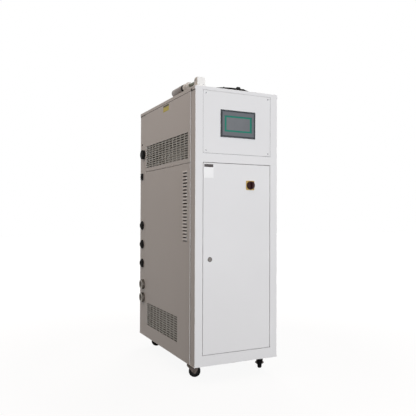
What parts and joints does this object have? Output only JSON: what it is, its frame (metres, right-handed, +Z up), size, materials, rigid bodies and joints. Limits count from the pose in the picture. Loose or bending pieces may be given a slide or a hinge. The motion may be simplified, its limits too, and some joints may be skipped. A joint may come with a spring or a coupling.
{
  "type": "recirculating chiller",
  "caption": "Tall sheet-metal chiller cabinet on swivel casters, with a front door, touch screen, roof fan, side grilles and water ports at the rear left.",
  "frame": {"origin": "on the floor, at the middle of the footprint of the whole part, port tips and switch knob included", "axes": "+Z up, the door side faces -Y, the fluid ports face -X"},
  "size_m": [0.626, 1.087, 1.897],
  "materials": {
    "cabinet_paint": "fine textured powder coat",
    "bezel_plastic": "fine grained",
    "green_plastic": "smooth",
    "display_glass": "glossy",
    "black_coat": "satin powder coat",
    "black_plastic": "moulded",
    "zinc_steel": "zinc plated",
    "tank_plastic": "moulded",
    "coil_aluminium": "finned",
    "yellow_plastic": "smooth",
    "knob_plastic": "smooth",
    "lock_chrome": "satin",
    "caster_steel": "zinc plated",
    "wheel_rubber": "smooth",
    "light_plastic": "moulded",
    "black_rubber": "smooth",
    "lamp_plastic": "frosted",
    "port_steel": "turned"
  },
  "bodies": {
    "cabinet": {"base_frame": "cabinet_paint", "front_left_post": "cabinet_paint", "front_right_post": "cabinet_paint", "rear_left_post": "cabinet_paint", "rear_right_post": "cabinet_paint", "front_rails": "cabinet_paint", "left_upper_panel": "cabinet_paint", "left_lower_panel": "cabinet_paint", "right_upper_panel": "cabinet_paint", "right_lower_panel": "cabinet_paint", "left_upper_grille": "cabinet_paint", "left_lower_grille": "cabinet_paint", "right_upper_grille": "cabinet_paint", "right_lower_grille": "cabinet_paint", "rear_panels": "cabinet_paint", "control_panel": "cabinet_paint", "roof_cap": "cabinet_paint", "touch_screen_bezel": "bezel_plastic", "touch_screen_frame": "green_plastic", "touch_screen_display": "display_glass", "fan_ring": "black_coat", "fan_guard": "black_coat", "fan_motor": "black_coat", "fan_connection_box": "black_plastic", "compartment_wall": "zinc_steel", "tank_stand": "zinc_steel", "water_tank": "tank_plastic", "condenser_coils": "coil_aluminium", "hinge_frame_leaves": "cabinet_paint", "caster_plates": "caster_steel", "signal_light_base": "light_plastic", "supply_port": "port_steel", "return_port": "port_steel", "cable_glands": "black_plastic", "filling_cap": "black_plastic", "signal_socket": "black_plastic"},
    "fan": {"fan_rotor": "black_plastic"},
    "door": {"door": "cabinet_paint", "hinge_door_leaves": "cabinet_paint", "switch_plate": "yellow_plastic", "switch_body": "black_plastic", "lock_barrel": "lock_chrome"},
    "switch_knob": {"switch_knob": "knob_plastic"},
    "lock_cam": {"lock_cam": "zinc_steel"},
    "signal_light": {"signal_light_pole": "light_plastic", "signal_light_gasket": "black_rubber", "signal_light_lamp": "lamp_plastic"},
    "fork_front_left": {"caster_fork_front_left": "caster_steel"},
    "wheel_front_left": {"caster_wheel_front_left": "wheel_rubber"},
    "pedal_front_left": {"caster_pedal_front_left": "black_plastic"},
    "fork_front_right": {"caster_fork_front_right": "caster_steel"},
    "wheel_front_right": {"caster_wheel_front_right": "wheel_rubber"},
    "pedal_front_right": {"caster_pedal_front_right": "black_plastic"},
    "fork_rear_left": {"caster_fork_rear_left": "caster_steel"},
    "wheel_rear_left": {"caster_wheel_rear_left": "wheel_rubber"},
    "fork_rear_right": {"caster_fork_rear_right": "caster_steel"},
    "wheel_rear_right": {"caster_wheel_rear_right": "wheel_rubber"}
  },
  "joints": [
    {"name": "fan_spin", "type": "hinge", "parent": "cabinet", "child": "fan", "pos_m": [0.025, -0.2455, 1.83], "axis": [0, 0, 1], "continuous": true},
    {"name": "door_hinge", "type": "hinge", "parent": "cabinet", "child": "door", "pos_m": [0.2535, -0.5055, 0.763], "axis": [0, 0, 1], "range_deg": [0, 115]},
    {"name": "switch_turn", "type": "hinge", "parent": "door", "child": "switch_knob", "pos_m": [0.102, -0.5055, 1.224], "axis": [0, 1, 0], "range_deg": [0, 90]},
    {"name": "lock_turn", "type": "hinge", "parent": "door", "child": "lock_cam", "pos_m": [-0.185, -0.4815, 0.757], "axis": [0, 1, 0], "range_deg": [0, 90]},
    {"name": "light_fold", "type": "hinge", "parent": "cabinet", "child": "signal_light", "pos_m": [-0.245, -0.4615, 1.87], "axis": [1, 0, 0], "range_deg": [0, 90]},
    {"name": "swivel_front_left", "type": "hinge", "parent": "cabinet", "child": "fork_front_left", "pos_m": [-0.245, -0.3515, 0.09], "axis": [0, 0, 1], "continuous": true},
    {"name": "roll_front_left", "type": "hinge", "parent": "fork_front_left", "child": "wheel_front_left", "pos_m": [-0.22253, -0.36246, 0.0375], "axis": [-0.4384, -0.8988, 0], "continuous": true},
    {"name": "brake_front_left", "type": "hinge", "parent": "fork_front_left", "child": "pedal_front_left", "pos_m": [-0.20006, -0.37342, 0.076], "axis": [0.4384, 0.8988, 0], "range_deg": [0, 12]},
    {"name": "swivel_front_right", "type": "hinge", "parent": "cabinet", "child": "fork_front_right", "pos_m": [0.265, -0.3515, 0.09], "axis": [0, 0, 1], "continuous": true},
    {"name": "roll_front_right", "type": "hinge", "parent": "fork_front_right", "child": "wheel_front_right", "pos_m": [0.25404, -0.37397, 0.0375], "axis": [-0.8988, 0.4384, 0], "continuous": true},
    {"name": "brake_front_right", "type": "hinge", "parent": "fork_front_right", "child": "pedal_front_right", "pos_m": [0.24308, -0.39644, 0.076], "axis": [0.8988, -0.4384, 0], "range_deg": [0, 12]},
    {"name": "swivel_rear_left", "type": "hinge", "parent": "cabinet", "child": "fork_rear_left", "pos_m": [-0.196, 0.4835, 0.09], "axis": [0, 0, 1], "continuous": true},
    {"name": "roll_rear_left", "type": "hinge", "parent": "fork_rear_left", "child": "wheel_rear_left", "pos_m": [-0.17353, 0.47254, 0.0375], "axis": [-0.4384, -0.8988, 0], "continuous": true},
    {"name": "swivel_rear_right", "type": "hinge", "parent": "cabinet", "child": "fork_rear_right", "pos_m": [0.216, 0.4835, 0.09], "axis": [0, 0, 1], "continuous": true},
    {"name": "roll_rear_right", "type": "hinge", "parent": "fork_rear_right", "child": "wheel_rear_right", "pos_m": [0.23515, 0.46743, 0.0375], "axis": [-0.6428, -0.766, 0], "continuous": true}
  ]
}
